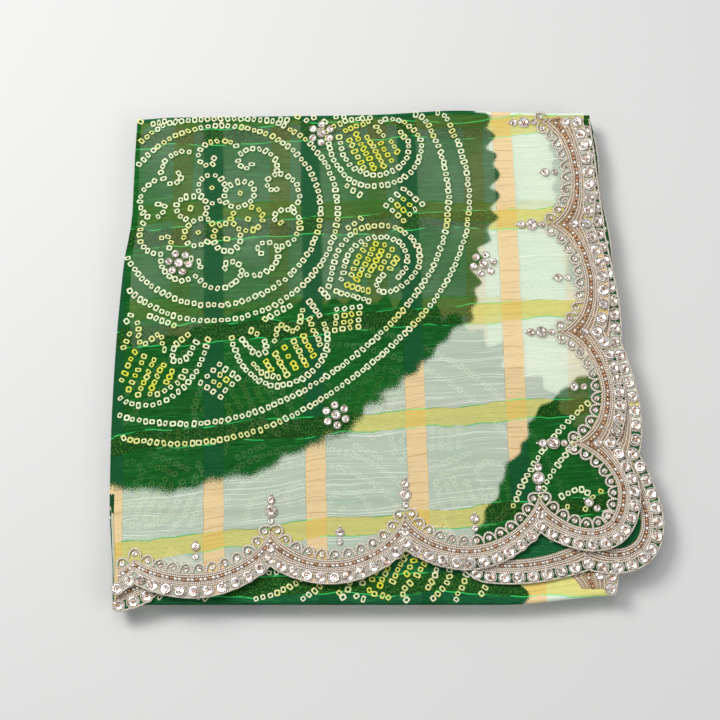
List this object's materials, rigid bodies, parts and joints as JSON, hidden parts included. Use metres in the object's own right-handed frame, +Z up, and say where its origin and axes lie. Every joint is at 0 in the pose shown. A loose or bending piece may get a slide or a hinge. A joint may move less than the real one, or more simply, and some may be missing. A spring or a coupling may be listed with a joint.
{
  "type": "folded bandhani cloth",
  "caption": "Folded length of sheer tie-dyed cloth in green and ivory, with woven check stripes, a scalloped edge of sequins and beads, and sewn sequin sprays.",
  "frame": {"origin": "middle of the bounding box on the flat underside", "axes": "+X to the free scalloped side, +Y away from the scalloped front towards the top fold, +Z up through the layers"},
  "size_m": [0.4328, 0.4152, 0.0306],
  "materials": {
    "cloth": "sheer crinkled georgette, tie-dyed green on pale mint with woven peach and yellow stripes",
    "thread": "silver and rose-gold metal thread, twisted and couched",
    "sequin": "cupped silver sequins",
    "bead": "bronze-silver glass beads"
  },
  "bodies": {
    "root": {"cloth": "cloth", "edging": "thread", "spray_1": "sequin", "spray_2": "sequin", "spray_3": "sequin", "spray_4": "sequin"}
  },
  "joints": []
}
